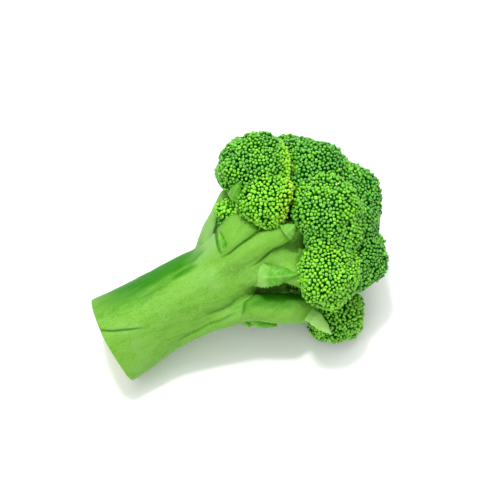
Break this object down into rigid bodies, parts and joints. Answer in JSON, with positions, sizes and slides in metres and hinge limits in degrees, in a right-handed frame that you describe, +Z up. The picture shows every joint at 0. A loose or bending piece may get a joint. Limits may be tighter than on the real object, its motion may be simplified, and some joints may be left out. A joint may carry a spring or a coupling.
{
  "type": "broccoli head",
  "caption": "Fresh broccoli head, cut at the stalk and lying on its side: a thick stalk forks into branches, each ending in a dome of green flower buds.",
  "frame": {"origin": "middle of the footprint, on the surface that the head lies on", "axes": "+X from the cut end of the stalk towards the crown, +Y across the stalk, +Z up from the surface"},
  "size_m": [0.156, 0.1046, 0.0904],
  "materials": {
    "stalk": "fresh waxy green skin, paler at the forks and at the cut",
    "buds": "tight round flower buds, dark green in the grooves and glossy yellow-green on top",
    "bract": "thin toothed leaf, pale at its base"
  },
  "bodies": {
    "root": {"stalk": "stalk", "floret_01": "buds", "floret_02": "buds", "floret_03": "buds", "floret_04": "buds", "floret_05": "buds", "floret_06": "buds", "floret_07": "buds", "floret_08": "buds", "floret_09": "buds", "floret_10": "buds", "floret_11": "buds", "floret_12": "buds", "floret_13": "buds", "bract_01": "bract", "bract_02": "bract", "bract_03": "bract", "bract_04": "bract", "bract_05": "bract", "bract_06": "bract"}
  },
  "joints": []
}
